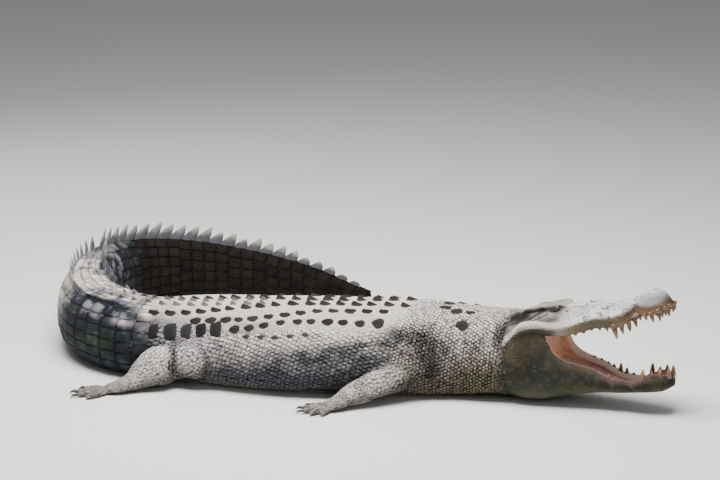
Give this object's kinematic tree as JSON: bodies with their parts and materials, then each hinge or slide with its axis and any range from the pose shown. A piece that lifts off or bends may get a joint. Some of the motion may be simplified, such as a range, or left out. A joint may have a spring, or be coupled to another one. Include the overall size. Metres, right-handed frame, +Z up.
{
  "type": "crocodile figure",
  "caption": "Life-size resting saltwater crocodile with gaping jaws, belly on the floor and the tail curled round behind the body.",
  "frame": {"origin": "centre of the bounding box, on the floor", "axes": "+X towards the head end, +Z up; the animal's right side faces -Y and its tail curls round on +Y"},
  "size_m": [2.3308, 1.7998, 0.4566],
  "materials": {
    "hide": "dry, matt scaled hide",
    "foot_hide": "dry, matt scaled hide, paler",
    "claw": "dark horn, half matt",
    "eye": "wet gloss",
    "tongue": "moist membrane"
  },
  "bodies": {
    "root": {"head": "hide", "lower_jaw": "hide", "tongue": "tongue", "neck": "hide", "trunk": "hide", "tail_1": "hide", "tail_2": "hide", "tail_3": "hide", "tail_4": "hide", "tail_5": "hide", "foreleg_right": "hide", "forefoot_right": "foot_hide", "foreleg_left": "hide", "forefoot_left": "foot_hide", "hindleg_right": "hide", "hindfoot_right": "foot_hide", "hindleg_left": "hide", "hindfoot_left": "foot_hide", "foreclaw_right_1": "claw", "foreclaw_right_2": "claw", "foreclaw_right_3": "claw", "foreclaw_left_1": "claw", "foreclaw_left_2": "claw", "foreclaw_left_3": "claw", "hindclaw_right_1": "claw", "hindclaw_right_2": "claw", "hindclaw_right_3": "claw", "hindclaw_left_1": "claw", "hindclaw_left_2": "claw", "hindclaw_left_3": "claw", "eye_right": "eye", "eye_left": "eye"}
  },
  "joints": []
}
